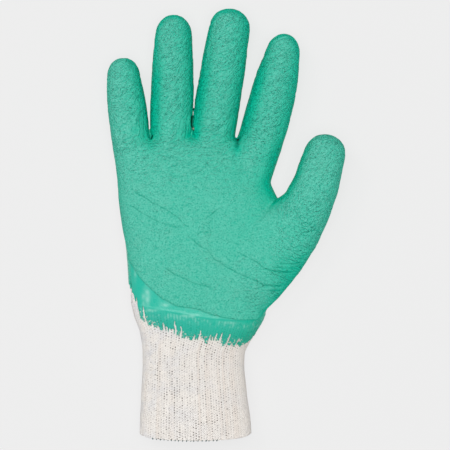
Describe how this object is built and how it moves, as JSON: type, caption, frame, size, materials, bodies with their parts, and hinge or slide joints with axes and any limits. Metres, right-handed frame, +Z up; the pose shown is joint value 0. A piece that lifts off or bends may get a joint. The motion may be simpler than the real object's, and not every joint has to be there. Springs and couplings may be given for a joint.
{
  "type": "latex coated grip glove",
  "caption": "Right-hand knitted work glove lying on its back, with a smooth dip and a crinkled latex grip dip over palm, fingers and thumb, and a long knitted cuff.",
  "frame": {"origin": "middle of the glove's footprint, on the surface that its back lies on", "axes": "+Z up out of the palm, +Y towards the fingertips, +X towards the thumb"},
  "size_m": [0.1424, 0.2584, 0.0373],
  "materials": {
    "cuff_knit": "matte ribbed knit",
    "liner_knit": "matte plain knit",
    "smooth_latex": "smooth, slightly glossy",
    "crinkled_latex": "crinkled, satin",
    "hem_thread": "overlock thread"
  },
  "bodies": {
    "root": {"knit_cuff": "cuff_knit", "hand_liner": "liner_knit", "little_liner": "liner_knit", "ring_liner": "liner_knit", "middle_liner": "liner_knit", "index_liner": "liner_knit", "thumb_liner": "liner_knit", "base_coat": "smooth_latex", "grip_coat": "crinkled_latex", "cuff_hem": "hem_thread"}
  },
  "joints": []
}
